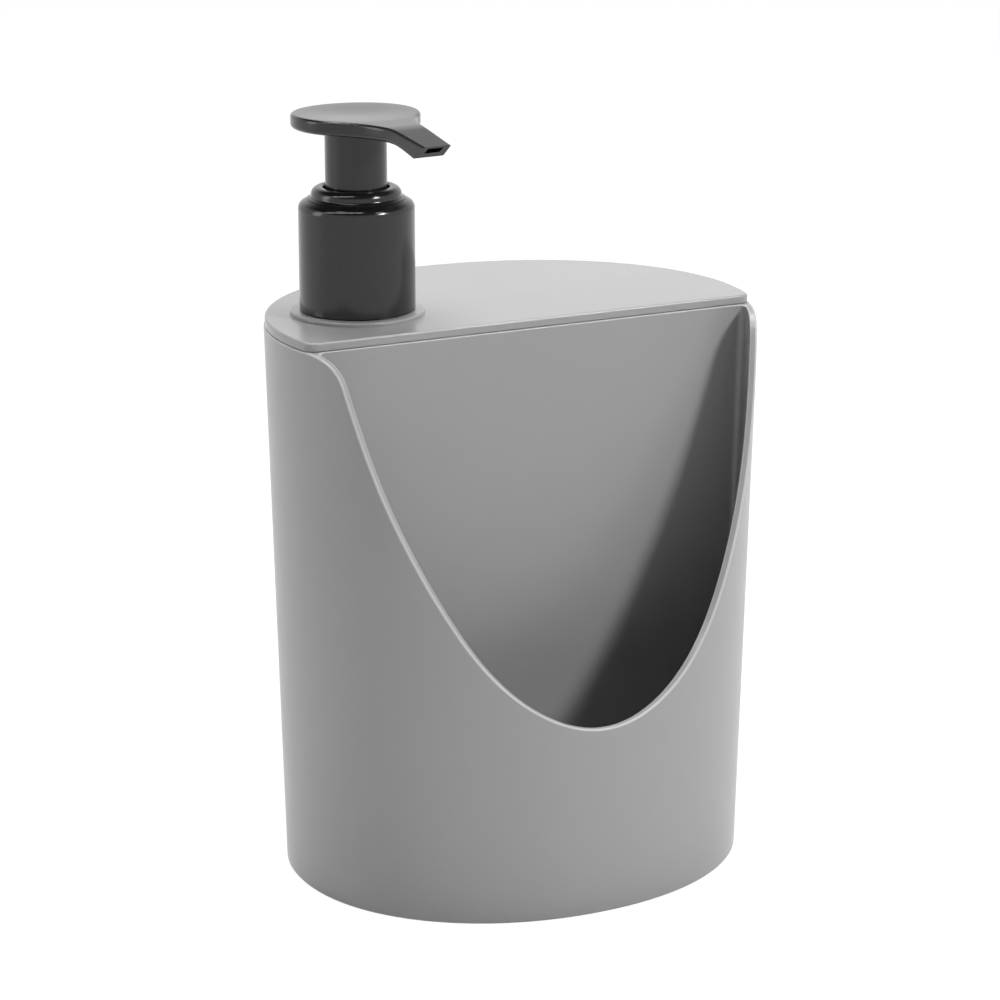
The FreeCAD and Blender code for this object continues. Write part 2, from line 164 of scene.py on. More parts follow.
# Curve through the points that leaves the first and reaches the last in the given
# directions and bends evenly in between
def smooth_line(points, first_way, last_way, steps):
    p = np.array(points, float)
    t = np.concatenate([[0], np.cumsum(np.linalg.norm(np.diff(p, axis=0), axis=1))])
    h = np.diff(t)
    n = len(p)
    a = np.zeros((n, n))
    b = np.zeros((n, 2))
    a[0, 0] = a[-1, -1] = 1
    b[0], b[-1] = first_way, last_way
    for i in range(1, n - 1):
        before, after = (p[i] - p[i - 1]) / h[i - 1], (p[i + 1] - p[i]) / h[i]
        a[i, i - 1], a[i, i], a[i, i + 1] = h[i], 2 * (h[i - 1] + h[i]), h[i - 1]
        b[i] = 3 * (h[i] * before + h[i - 1] * after)
    ways = np.linalg.solve(a, b)
    line = []
    for i in range(n - 1):
        for s in np.linspace(0, 1, steps, endpoint=False):
            u = 1 - s
            line.append(u * u * (1 + 2 * s) * p[i] + s * s * (3 - 2 * s) * p[i + 1]
                        + h[i] * s * u * (u * ways[i] - s * ways[i + 1]))
    return line + [p[-1]]


scoop_points = [(x * rim_half_length, scoop_floor + z * (rim_height - scoop_floor))
                for x, z in scoop_depths]
lip_end_way = (math.cos(lip_end_slope), math.sin(lip_end_slope))
scoop_line = smooth_line(scoop_points + lip_points, (1, 0), lip_end_way, scoop_line_steps)
scoop_x = [p[0] for p in scoop_line]
scoop_z = [p[1] for p in scoop_line]

# Turn on the oval at which the lip ends in the level rim
lip_turn = math.acos((scoop_x[-1] / rim_half_length) ** (oval_power / 2))


# Height at which the outside of the wall meets the scooped edge
def scooped_height(turn):
    low, high = scoop_floor - 1, rim_height
    for _ in range(halvings):
        z = (low + high) / 2
        if z < np.interp(oval_point(turn, z, 0.0)[0], scoop_x, scoop_z):
            low = z
        else:
            high = z
    return high


# Corners closer than this are one, and roundings are made of this many strips
weld_distance = 0.002 * MM
bevel_segments = 4
round_profile = 0.5


class Skin:
    """Collects the corners, faces and softened edges of one moulding, in millimetres."""

    def __init__(self):
        self.points = []
        self.faces = []
        self.soft = []

    def row(self, points):
        start = len(self.points)
        self.points += points
        return list(range(start, len(self.points)))

    def strip(self, first, second):
        for i in range(len(first) - 1):
            self.faces.append((first[i], first[i + 1], second[i + 1], second[i]))

    def sheet(self, rows):
        for first, second in zip(rows, rows[1:]):
            self.strip(first, second)

    # Marks a row's edges to be rounded; slot is the rounding's material, -1 for
    # the one beside it
    def soften(self, row, radius, slot=-1):
        self.soft.append(([self.points[i] for i in row], radius, slot))

    def round_edges(self, work, sides):
        for points, radius, slot in self.soft:
            work.verts.ensure_lookup_table()
            tree = KDTree(len(work.verts))
            for vertex in work.verts:
                tree.insert(vertex.co, vertex.index)
            tree.balance()
            edges = set()
            for side in sides:
                places = [(side * x * MM, y * MM, z * MM) for x, y, z in points]
                line = [work.verts[tree.find(place)[1]] for place in places]
                for a, b in zip(line, line[1:]):
                    edge = work.edges.get((a, b)) if a is not b else None
                    if edge:
                        edges.add(edge)
            bmesh.ops.bevel(work, geom=list(edges), offset=radius * MM, offset_type="OFFSET",
                            segments=bevel_segments, profile=round_profile, affect="EDGES",
                            clamp_overlap=False, material=slot)
            work.verts.index_update()

    def piece(self, name, mirrored=False, sharp=40):
        mesh = bpy.data.meshes.new(name)
        mesh.from_pydata([[c * MM for c in p] for p in self.points], [], self.faces)
        work = bmesh.new()
        work.from_mesh(mesh)
        bmesh.ops.remove_doubles(work, verts=work.verts, dist=weld_distance)
        if mirrored:
            half = work.verts[:] + work.edges[:] + work.faces[:]
            bmesh.ops.mirror(work, geom=half, axis="X", merge_dist=weld_distance)
            bmesh.ops.remove_doubles(work, verts=work.verts, dist=weld_distance)
        bmesh.ops.recalc_face_normals(work, faces=work.faces)
        work.verts.index_update()
        self.round_edges(work, (1, -1) if mirrored else (1,))
        bmesh.ops.recalc_face_normals(work, faces=work.faces)
        work.to_mesh(mesh)
        work.free()
        obj = bpy.data.objects.new(name, mesh)
        bpy.context.scene.collection.objects.link(obj)
        shade(obj, sharp)
        return obj


# How strongly a large flat face keeps its own shading against small ones beside it
flat_face_weight = 90


# Smooth shading that stays flat on flat faces and breaks at edges over an angle
def shade(obj, sharp):
    for polygon in obj.data.polygons:
        polygon.use_smooth = True
    obj.data.set_sharp_from_angle(angle=math.radians(sharp))
    even = obj.modifiers.new("even shading", "WEIGHTED_NORMAL")
    even.weight = flat_face_weight
    even.keep_sharp = True


def build_pot():
    skin = Skin()
    front = pocket["side"]
    upright_rows = 12
    floor_corner_rows = 6
    corner_steps = 20
    wall_steps = 90
    wall_crowding = 1.5
    mouth_corner_steps = 10
    mouth_wall_steps = 50
    back_steps = 60

    def level(point, z):
        return (point[0], point[1], z)

    # Inset and height on the way round the floor's corner, a quarter circle
    def floor_corner_path():
        for i in range(1, floor_corner_rows + 1):
            angle = math.pi / 2 * i / floor_corner_rows
            yield (floor_corner * (1 - math.cos(angle)),
                   pocket_floor + floor_corner - floor_corner * math.sin(angle))

    # Column down a cavity's wall from a height, round its floor corner
    def down_wall(station, top, cavity):
        foot = pocket_floor + floor_corner
        column = []
        for i in range(upright_rows + 1):
            z = top + (foot - top) * i / upright_rows
            column.append(level(cavity_point(station, z, 0.0, cavity), z))
        for inset, z in floor_corner_path():
            column.append(level(cavity_point(station, z, inset, cavity), z))
        return column

    # The same down the middle of the partition's face
    def down_partition(cavity):
        side, plane = cavity["side"], cavity["plane"]
        column = [(0, plane, rim_height), (0, plane, pocket_floor + floor_corner)]
        return column + [(0, plane + side * inset, z) for inset, z in floor_corner_path()]

    # Closes the partition's face, its floor corner and the floor of one cavity
    def close_cavity(columns, cavity):
        middle = skin.row(down_partition(cavity))
        skin.faces.append([middle[0]] + columns[0][:upright_rows + 1] + [middle[1]])
        skin.strip(columns[0][upright_rows:], middle[1:])
        skin.faces.append([column[-1] for column in columns] + [middle[-1]])
        return middle[0]

    # Stations along the scooped wall, each with its turn on the outside. Those of
    # the oval wall crowd toward the lip, where the edge is steep
    wall_turn = cavity_corner(rim_height, 0.0, front, pocket["plane"], pocket["corner"])[0]
    rungs = []
    for k in range(corner_steps):
        share = k / corner_steps
        rungs.append((share, lip_turn + (wall_turn - lip_turn) * share))
    for k in range(wall_steps + 1):
        share = (k / wall_steps) ** wall_crowding
        rungs.append((1 + (middle_station - 1) * share,
                      wall_turn + (math.pi / 2 - wall_turn) * share))

    # The cut face, square to the wall, and the pocket's wall below it
    cut_rows = []
    columns = []
    outer_tops = []
    for k, (station, turn) in enumerate(rungs):
        z = scooped_height(turn) if k else rim_height
        inner = cavity_point(station, z, 0.0, pocket)
        outer = oval_point(turn, z, 0.0, front)
        cut_rows.append(skin.row([level(inner, z), level(outer, z)]))
        columns.append(skin.row(down_wall(station, z, pocket)))
        outer_tops.append((turn, z))
    skin.sheet(cut_rows)
    skin.sheet(columns)
    crest_middle = close_cavity(columns, pocket)
    # Slot 1 gives the crest and the scoop's inner edge the lighter grey of a painted highlight
    skin.soften([crest_middle] + [row[0] for row in cut_rows], scoop_inner_rounding, 1)

    # The reservoir behind the partition
    stations = [i / mouth_corner_steps for i in range(mouth_corner_steps)]
    for i in range(mouth_wall_steps + 1):
        stations.append(1 + (middle_station - 1) * i / mouth_wall_steps)
    back_columns = [skin.row(down_wall(s, rim_height, reservoir)) for s in stations]
    skin.sheet(back_columns)
    mouth_middle = close_cavity(back_columns, reservoir)
    mouth = [mouth_middle] + [column[0] for column in back_columns]
    skin.soften(mouth, mouth_rounding)

    # The outside from the rim or the scooped edge down to the recessed foot
    for i in range(1, back_steps + 1):
        share = i / back_steps
        outer_tops.insert(0, (lip_turn * (1 - share) - math.pi / 2 * share, rim_height))
    outside = []
    for turn, top in outer_tops:
        column = []
        for i in range(upright_rows + 1):
            z = top * (1 - i / upright_rows)
            column.append(level(oval_point(turn, z, 0.0, front), z))
        column.append(level(oval_point(turn, 0.0, foot_width, front), 0.0))
        column.append(level(oval_point(turn, foot_recess, foot_width, front), foot_recess))
        outside.append(skin.row(column))
    skin.sheet(outside)
    skin.faces.append([column[-1] for column in outside])
    # Slot 1 gives the rim and the scoop's outer edge the lighter grey of a painted highlight
    skin.soften([column[0] for column in outside], scoop_outer_rounding, 1)
    skin.soften([column[upright_rows] for column in outside], standing_rounding)

    # The level rim between the partition's crest, the mouth and the outside
    rim = [column[0] for column in outside[:back_steps]]
    skin.faces.append([crest_middle] + cut_rows[0] + rim[::-1] + mouth[::-1])
    return skin.piece("pot", mirrored=True)


# sRGB hex to the linear colour that the shaders use
def linear(hex_value, strength=1.0):
    channels = [int(hex_value[i:i + 2], 16) / 255 for i in (1, 3, 5)]
    light = [c / 12.92 if c <= 0.04045 else ((c + 0.055) / 1.055) ** 2.4 for c in channels]
    return tuple(strength * c for c in light) + (1,)


# Adds a node with its settings, and links given as input name = output socket,
# with an underscore for each space in the name
def add_node(tree, kind, settings=None, **links):
    node = tree.nodes.new(kind)
    for key, value in (settings or {}).items():
        if key in node.inputs:
            node.inputs[key].default_value = value
        else:
            setattr(node, key, value)
    for key, source in links.items():
        tree.links.new(source, node.inputs[key.replace("_", " ")])
    return node


def new_material(name):
    material = bpy.data.materials.new(name)
    material.use_nodes = True
    tree = material.node_tree
    tree.nodes.clear()
    return material, tree


# Lengths over which a moulding's shade and its gloss drift, the range that the
# values of a noise really fill, and the plastic's index of refraction
flow_mm = 45
wear_mm = 14
noise_low, noise_high = 0.3, 0.7
plastic_ior = 1.49


# Moulded thermoplastic with the fine grain of its mould. The shade drifts very
# slowly where the melt flowed, and the gloss drifts a little with handling, so
# the eye gets soft, slightly uneven highlights and no flat colour.
def moulded_plastic(name, colour, shade_drift, roughness, gloss_drift, grain_mm, grain_height_mm):
    material, tree = new_material(name)
    place = add_node(tree, "ShaderNodeNewGeometry").outputs["Position"]
    flow = add_node(tree, "ShaderNodeTexNoise",
                    {"Scale": 1 / (flow_mm * MM), "Detail": 3.0, "Roughness": 0.55}, Vector=place)
    tone = add_node(tree, "ShaderNodeValToRGB", None, Fac=flow.outputs["Fac"])
    dark, light = tone.color_ramp.elements
    dark.position, light.position = noise_low, noise_high
    dark.color, light.color = linear(colour, 1 - shade_drift), linear(colour, 1 + shade_drift)
    wear = add_node(tree, "ShaderNodeTexNoise",
                    {"Scale": 1 / (wear_mm * MM), "Detail": 4.0, "Roughness": 0.6}, Vector=place)
    rough = add_node(tree, "ShaderNodeMapRange",
                     {"From Min": noise_low, "From Max": noise_high,
                      "To Min": roughness - gloss_drift, "To Max": roughness + gloss_drift},
                     Value=wear.outputs["Fac"])
    grain = add_node(tree, "ShaderNodeTexNoise",
                     {"Scale": 1 / (grain_mm * MM), "Detail": 2.0}, Vector=place)
    bump = add_node(tree, "ShaderNodeBump",
                    {"Strength": 1.0, "Distance": grain_height_mm * MM},
                    Height=grain.outputs["Fac"])
    shader = add_node(tree, "ShaderNodeBsdfPrincipled", {"IOR": plastic_ior},
                      Base_Color=tone.outputs["Color"], Roughness=rough.outputs["Result"],
                      Normal=bump.outputs["Normal"])
    add_node(tree, "ShaderNodeOutputMaterial", None, Surface=shader.outputs["BSDF"])
    return material


# Satin grey polypropylene, which gives broad, soft highlights. The grain is
# 0.6 mm across, coarser than a real spark-eroded mould's, so that it still shows
pot_plastic = moulded_plastic("satin_grey_polypropylene", "#A2A2A2",
                              shade_drift=0.015, roughness=0.3, gloss_drift=0.02,
                              grain_mm=0.6, grain_height_mm=0.003)
pot = build_pot()
pot.data.materials.append(pot_plastic)

# Rounded edges get a lighter grey and a little more roughness. This is a painted highlight
# that draws a fine pale line round the rim, the scoop and the partition's crest
painted_edge_highlight_plastic = moulded_plastic("grey_polypropylene_painted_edge_highlight", "#C2C2C2",
                               shade_drift=0.01, roughness=0.38, gloss_drift=0.02,
                               grain_mm=0.6, grain_height_mm=0.002)
pot.data.materials.append(painted_edge_highlight_plastic)
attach(pot, "caddy")
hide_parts("caddy_body")


# ---------------------------------------------------------------------------
# Reservoir lid
# The D-shaped lid is a separate flat moulding in the pot's own grey. A skirt
# under it plugs the reservoir, a low ring frames the pump, and the pump screws
# on to its threaded neck.
# ---------------------------------------------------------------------------

# Gives a piece of the solid model its look
def dress(node, material):
    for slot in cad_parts[node].material_slots:
        slot.material = material


# The lid is a little glossier than the pot's walls, which gives its flat top a
# slightly clearer sheen
lid_plastic = moulded_plastic("satin_grey_polypropylene_lid", "#A2A2A2",
                              shade_drift=0.015, roughness=0.25, gloss_drift=0.02,
                              grain_mm=0.6, grain_height_mm=0.003)
dress("reservoir_lid", lid_plastic)


# ---------------------------------------------------------------------------
# Pump collar and lock ring
# The screw collar is a straight black polypropylene sleeve with a round
# shoulder. The lock ring snaps into the pump housing inside it and shows as a
# small step on top.
# ---------------------------------------------------------------------------

pump_axis = (-34.55, 11.65)

# The collar: its skirt, the sloping shoulder, and a hub that hangs from its top
collar_radius = 13.56
collar_bore = 12.15
collar_foot = 136.1
collar_top = 162.3
shoulder_radius = 11.3
shoulder_height = 1.2
web_foot = 160.8
hub_bore = 9.9
hub_radius = 11.0
hub_foot = 154.6

# The lock ring: the step with its flared foot, the plug that fills the collar's
# hub, and the guide round the stem
ring_radius = 10.55
ring_bore = 7.75
ring_top = 165.0
ring_foot = collar_top + 0.02
flare_top = ring_foot + 0.43
flare_edge = ring_foot + 0.05
flare_radius = 11.45
plug_radius = 9.7
plug_foot_radius = 9.6
ring_skirt_radius = 8.4
guide_bore = 2.85
guide_foot = 147.6
guide_top = 149.1


# Corners (radius, height, rounding) to a profile with each corner turned over in
# an arc that starts and ends one rounding away from it
def soften_profile(corners, steps=8):
    profile = []
    for i, (r, z, soft) in enumerate(corners):
        if soft == 0:
            profile.append((r, z))
            continue
        ends = []
        for other in (corners[i - 1], corners[(i + 1) % len(corners)]):
            length = math.hypot(other[0] - r, other[1] - z)
            ends.append(((other[0] - r) * soft / length, (other[1] - z) * soft / length))
        (ax, az), (bx, bz) = ends
        weight = math.sin(math.acos(max(-1, min(1, (ax * bx + az * bz) / soft ** 2))) / 2)
        for j in range(steps + 1):
            s = j / steps
            p, q, w = (1 - s) ** 2, 2 * s * (1 - s) * weight, s * s
            whole = p + q + w
            profile.append((r + (p * ax + w * bx) / whole, z + (p * az + w * bz) / whole))
    return profile


# Closed ring of revolution round the pump's axis
def turned_piece(name, profile, steps=160):
    skin = Skin()
    rows = []
    for i in range(steps):
        angle = 2 * math.pi * i / steps
        c, s = math.cos(angle), math.sin(angle)
        rows.append(skin.row([(pump_axis[0] + r * c, pump_axis[1] + r * s, z)
                              for r, z in profile + profile[:1]]))
    skin.sheet(rows + rows[:1])
    return skin.piece(name)


# Smooth black polypropylene off a polished mould: close to a satin mirror, so
# every rounded edge carries a narrow bright line
black_plastic = moulded_plastic("black_polypropylene", "#1F1F1E",
                                shade_drift=0.03, roughness=0.17, gloss_drift=0.015,
                                grain_mm=0.8, grain_height_mm=0.001)

collar_corners = [
    (collar_bore, collar_foot, 0.2), (collar_radius, collar_foot, 0.3),
    (collar_radius, collar_top - shoulder_height, 1.2), (shoulder_radius, collar_top, 0.4),
    (hub_bore, collar_top, 0.15), (hub_bore, hub_foot, 0), (hub_radius, hub_foot, 0.1),
    (hub_radius, web_foot, 0), (collar_bore, web_foot, 0.2)]
collar = turned_piece("pump_collar", soften_profile(collar_corners, steps=12))
collar.data.materials.append(black_plastic)
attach(collar, "closure")
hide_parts("pump_closure")

ring_corners = [
    (ring_bore, ring_top, 0.4), (ring_radius, ring_top, 1.8), (ring_radius, flare_top, 0.4),
    (flare_radius, flare_edge, 0), (flare_radius, ring_foot, 0), (plug_radius, ring_foot, 0),
    (plug_foot_radius, hub_foot, 0), (ring_skirt_radius, hub_foot, 0),
    (ring_skirt_radius, guide_foot, 0), (guide_bore, guide_foot, 0.1),
    (guide_bore, guide_top, 0.1), (ring_bore, guide_top, 0.2)]
ring = turned_piece("lock_ring_top", soften_profile(ring_corners))
ring.data.materials.append(black_plastic)
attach(ring, "pump")
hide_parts("lock_ring")


# ---------------------------------------------------------------------------
# Pump head
# Pad, spout and sleeve are one black moulding. The pad is slightly dished for
# the finger, the spout bends down to a slanted mouth, and the sleeve slides in
# the lock ring round the stem.
# ---------------------------------------------------------------------------

# The pad, its dish, and how far it falls to the back from where it starts to
pad_radius = 15.0
pad_top = 182.3
pad_thickness = 3.4
pad_dish = 0.55
dish_reach = 15.5
pad_fall = 0.35
fall_start = 8.0

# The roundings of the upper and lower edge, and the share that each loses on the
# way out to the mouth
top_edge_rounding = 0.8
top_edge_loss = 0.3
low_edge_rounding = 1.1
low_edge_loss = 0.8

# The spout: lengths are from the pump's axis, and the mouth slants back under it
spout_angle = math.radians(-85)
spout_reach = 37.5
spout_undercut = 4.2
spout_tip_half_width = 3.6
spout_tip_thickening = 0.4
spout_taper = math.radians(4)
spout_root_radius = 27.0
bend_start = 21.5
bend_radius = 30.0
bend_slope = math.radians(9.5)

# The channel in it, which lies deeper where it passes under the dish
channel_half_width = 1.95
channel_roof = 0.7
channel_height = 1.6
channel_start = -1.7
channel_overrun = 2.0
channel_rise_start = 10.0
channel_rise_end = 16.0

# The sleeve round the stem, the holder on it, and the stem's socket in both
sleeve_radius = 7.2
sleeve_bore = 6.1
sleeve_foot = 160.8
holder_radius = 3.9
holder_foot = 165.9
socket_radius = 2.62
socket_start = 164.0
socket_top = 179.2
port_radius = 1.7
port_top = 180.0
pad_overlap = 0.6


# Half outline from the back of the pad to the spout's tip, as points with the
# direction that leads inward from each: the pad's arc, the hollow curve of the
# spout's root, which touches the pad and the spout's side, and that side itself
def head_outline():
    pad_steps = 110
    root_steps = 40
    side_steps = 20
    ax, ay = math.cos(spout_taper), -math.sin(spout_taper)
    ox, oy = math.sin(spout_taper), math.cos(spout_taper)
    ex = spout_reach + ox * spout_root_radius
    ey = spout_tip_half_width + oy * spout_root_radius
    reach = pad_radius + spout_root_radius
    half = ex * ax + ey * ay
    swing = math.sqrt(half ** 2 - ex ** 2 - ey ** 2 + reach ** 2)
    back = half + swing if ex - ax * (half + swing) >= 0 else half - swing
    cx, cy = ex - ax * back, ey - ay * back
    pad_end = math.atan2(cy, cx)
    outline = []
    for angle in np.linspace(math.pi, pad_end, pad_steps):
        c, s = math.cos(angle), math.sin(angle)
        outline.append((pad_radius * c, pad_radius * s, -c, -s))
    line_x, line_y = cx - ox * spout_root_radius, cy - oy * spout_root_radius
    root_end = math.atan2(line_y - cy, line_x - cx) % (2 * math.pi)
    for angle in np.linspace(pad_end + math.pi, root_end, root_steps)[1:]:
        c, s = math.cos(angle), math.sin(angle)
        outline.append((cx + spout_root_radius * c, cy + spout_root_radius * s, c, s))
    for share in np.linspace(0, 1, side_steps)[1:]:
        x = line_x + (spout_reach - line_x) * share
        y = line_y + (spout_tip_half_width - line_y) * share
        outline.append((x, y, -ox, -oy))
    return outline, line_x


# How far the top lies below the root of the spout: the pad falls a little to
# the back, and past a short bend the spout runs down straight
def bend_drop(x):
    if x < fall_start:
        return pad_fall * ((fall_start - x) / (fall_start + pad_radius)) ** 2
    curved = bend_radius * math.sin(bend_slope)
    run = min(max(0.0, x - bend_start), curved)
    straight = max(0.0, x - bend_start - curved)
    return bend_radius - math.sqrt(bend_radius ** 2 - run ** 2) + straight * math.tan(bend_slope)


# A point of the head, with x along the spout, in its place on the pump
def at_head(x, y, z):
    c, s = math.cos(spout_angle), math.sin(spout_angle)
    return (pump_axis[0] + x * c - y * s, pump_axis[1] + x * s + y * c, z)


# Pad and spout as one slab: for each point of the outline a closed ring that runs
# across the top, down one side, back across the underside and up the other side
def build_head_slab():
    skin = Skin()
    outline, line_start = head_outline()
    arc = [math.radians(a) for a in (0, 13, 26, 39, 52, 65, 78, 90)]
    top_steps = 32
    under_steps = 8
    rings = []
    for x, y, nx, ny in outline:
        slant = max(0.0, (x - line_start) / (spout_reach - line_start))
        thick = pad_thickness + spout_tip_thickening * slant ** 2
        top_soft = top_edge_rounding * (1 - top_edge_loss * slant)
        low_soft = low_edge_rounding * (1 - low_edge_loss * slant)
        levels = [(top_soft * (1 - math.sin(a)), top_soft * (1 - math.cos(a)), 0.0) for a in arc]
        levels += [(low_soft * (1 - math.cos(a)), low_soft * (math.sin(a) - 1), 1.0) for a in arc]
        side = []
        for inset, drop, low in levels:
            deep = low * thick + drop
            undercut = spout_undercut * slant * deep / thick
            px = x + nx * inset - undercut
            py = y + ny * inset + math.tan(spout_taper) * undercut
            side.append((px, max(0.0, py), pad_top - bend_drop(px) - deep))
        px, py, z = side[0]
        ring = []
        for i in range(top_steps + 1):
            wide = py * math.cos(math.pi * i / top_steps)
            from_axis = math.hypot(px, wide) / dish_reach
            sunk = pad_dish * (1 - from_axis ** 2) ** 2 if from_axis < 1 else 0
            ring.append((px, -wide, z - sunk))
        ring += side[1:]
        px, py, z = side[-1]
        ring += [(px, py * (1 - 2 * i / under_steps), z) for i in range(1, under_steps)]
        ring += [(qx, -qy, qz) for qx, qy, qz in side[:0:-1]]
        rings.append(skin.row([at_head(*p) for p in ring + ring[:1]]))
    skin.sheet(rings)
    skin.faces.append(rings[-1][:-1])
    return skin.piece("pump_head", sharp=30)


# Bar in the shape of the spout's channel, from the stem out through the mouth
def build_channel():
    skin = Skin()
    rings = []
    lengthwise_points = 40
    for x in np.linspace(channel_start, spout_reach + channel_overrun, lengthwise_points):
        under_dish = (channel_rise_end - x) / (channel_rise_end - channel_rise_start)
        high = pad_top - channel_roof - pad_dish * min(1.0, max(0.0, under_dish)) - bend_drop(x)
        low = high - channel_height
        corners = [(-channel_half_width, high), (channel_half_width, high),
                   (channel_half_width, low), (-channel_half_width, low)]
        rings.append(skin.row([at_head(x, y, z) for y, z in corners + corners[:1]]))
    skin.sheet(rings)
    skin.faces += [rings[0][:-1], rings[-1][:-1]]
    return skin.piece("channel")


# Joins or cuts one mesh with others, which are used up
def combine(obj, others, operation):
    for other in others:
        step = obj.modifiers.new(other.name, "BOOLEAN")
        step.operation = operation
        step.solver = "EXACT"
        step.object = other
    graph = bpy.context.evaluated_depsgraph_get()
    mesh = bpy.data.meshes.new_from_object(obj.evaluated_get(graph))
    obj.modifiers.clear()
    obj.data = mesh
    for other in others:
        bpy.data.objects.remove(other)


head = build_head_slab()
inside = pad_top - pad_thickness + pad_overlap
sleeve = turned_piece("sleeve", soften_profile([
    (sleeve_bore, sleeve_foot, 0.2), (sleeve_radius, sleeve_foot, 0.3),
    (sleeve_radius, inside, 0), (sleeve_bore, inside, 0)]))
holder = turned_piece("stem_holder", soften_profile([
    (socket_radius, holder_foot, 0.2), (holder_radius, holder_foot, 0.2),
    (holder_radius, inside, 0), (socket_radius, inside, 0)]))
bore = turned_piece("stem_bore", [
    (0, socket_start), (socket_radius, socket_start), (socket_radius, socket_top),
    (port_radius, socket_top), (port_radius, port_top), (0, port_top)])
channel = build_channel()
for part in (head, sleeve, holder, bore, channel):
    part.modifiers.clear()
combine(head, [sleeve, holder], "UNION")
combine(head, [bore, channel], "DIFFERENCE")
shade(head, sharp=30)
head.data.materials.clear()
head.data.materials.append(black_plastic)

# The spout is trimmed at its mouth, which leaves that face duller and browner.
# It is the part past the undercut, less a margin, that looks along the spout
trimmed_plastic = moulded_plastic("trimmed_black_polypropylene", "#45413D",
                                  shade_drift=0.04, roughness=0.45, gloss_drift=0.05,
                                  grain_mm=0.5, grain_height_mm=0.004)
head.data.materials.append(trimmed_plastic)
mouth_margin = 1.0
mouth_facing = 0.6
mouth_from = Vector(at_head(spout_reach - spout_undercut - mouth_margin, 0, 0))
outward = Vector((math.cos(spout_angle), math.sin(spout_angle), 0))
for face in head.data.polygons:
    past = (face.center / MM - mouth_from).dot(outward) > 0
    if past and face.normal.dot(outward) > mouth_facing:
        face.material_index = 1
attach(head, "head")
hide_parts("actuator_head")


# ---------------------------------------------------------------------------
# Pump works
# Hidden below the collar: natural polypropylene housing and dip tube, a soft
# gasket, the stem, plug and piston, the steel spring and the check ball.
# ---------------------------------------------------------------------------

# Natural polypropylene has no pigment: it looks milky, soft and a little dull
milky_plastic = moulded_plastic("natural_polypropylene", "#DAD9D2",
                                shade_drift=0.02, roughness=0.38, gloss_drift=0.03,
                                grain_mm=0.4, grain_height_mm=0.004)
for node in ("pump_housing", "ball_cage", "dip_tube", "upper_stem", "piston_rod", "piston",
             "housing_gasket"):
    dress(node, milky_plastic)


# Bright stainless steel, with faint drawing or grinding marks that blur its
# reflections a little
def drawn_steel(name, colour, roughness, mark_mm):
    mark_depth_mm = 0.003
    gloss_spread = 0.3
    material, tree = new_material(name)
    place = add_node(tree, "ShaderNodeNewGeometry").outputs["Position"]
    marks = add_node(tree, "ShaderNodeTexNoise",
                     {"Scale": 1 / (mark_mm * MM), "Detail": 2.0}, Vector=place)
    rough = add_node(tree, "ShaderNodeMapRange",
                     {"To Min": roughness * (1 - gloss_spread),
                      "To Max": roughness * (1 + gloss_spread)},
                     Value=marks.outputs["Fac"])
    bump = add_node(tree, "ShaderNodeBump",
                    {"Strength": 0.4, "Distance": mark_depth_mm * MM},
                    Height=marks.outputs["Fac"])
    shader = add_node(tree, "ShaderNodeBsdfPrincipled",
                      {"Metallic": 1.0, "Base Color": linear(colour)},
                      Roughness=rough.outputs["Result"], Normal=bump.outputs["Normal"])
    add_node(tree, "ShaderNodeOutputMaterial", None, Surface=shader.outputs["BSDF"])
    return material


spring_steel = drawn_steel("drawn_stainless_wire", "#C9CACB", roughness=0.28, mark_mm=0.3)

# The return spring is one helix of round wire between the ball cage and the
# plug's flange. Its top goes down with the stem, so it is closed up by a press
spring_low = 115.67
spring_high = 133.53
spring_radius = 3.75
spring_wire = 0.45
spring_turns = 6
steps_per_turn = 48
wire_sides = 12


def build_spring():
    skin = Skin()
    rings = []
    height = spring_high - spring_low
    whole = 2 * math.pi * spring_turns
    for turn in np.linspace(0, whole, steps_per_turn * spring_turns + 1):
        out = Vector((math.cos(turn), math.sin(turn), 0))
        way = Vector((-out.y * spring_radius, out.x * spring_radius, height / whole)).normalized()
        up = out.cross(way)
        middle = Vector((*pump_axis, spring_low + height * turn / whole)) + out * spring_radius
        wire = [middle + spring_wire * (out * math.cos(a) + up * math.sin(a))
                for a in np.linspace(0, 2 * math.pi, wire_sides + 1)]
        rings.append(skin.row([tuple(p) for p in wire]))
    skin.sheet(rings)
    skin.faces += [rings[0][:-1], rings[-1][:-1]]
    return skin.piece("spring_coil")


spring = build_spring()
spring.data.materials.append(spring_steel)
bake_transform(spring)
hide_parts("return_spring")

# The check ball is ground and polished, so it mirrors more sharply than the wire
ball_steel = drawn_steel("polished_stainless_ball", "#D4D5D6", roughness=0.1, mark_mm=0.5)
dress("check_ball", ball_steel)


# ---------------------------------------------------------------------------
# Studio
# Pale floor, white surroundings and soft lamps, as for a catalogue picture, and
# the photograph's own view. Places and sizes here are in metres, power in watts.
# ---------------------------------------------------------------------------

white_light = (1, 1, 1, 1)
camera_white = 1.0
wall_light = 1.0
fill_light = 0.03
wall_fade_start = 0.36
wall_fade_end = 0.66
ceiling_light = 0.06
floor_half = 3
floor_glow = 0.96
floor_shadow = (0.12, 0.12, 0.12, 1)


# Mixes two shaders, the second where the factor is 1
def mix_shaders(tree, factor, first, second):
    mix = add_node(tree, "ShaderNodeMixShader", None, Fac=factor)
    tree.links.new(first, mix.inputs[1])
    tree.links.new(second, mix.inputs[2])
    return mix.outputs[0]


# The larger of two values
def larger(tree, first, second):
    node = add_node(tree, "ShaderNodeMath", {"operation": "MAXIMUM"})
    tree.links.new(first, node.inputs[0])
    tree.links.new(second, node.inputs[1])
    return node.outputs[0]


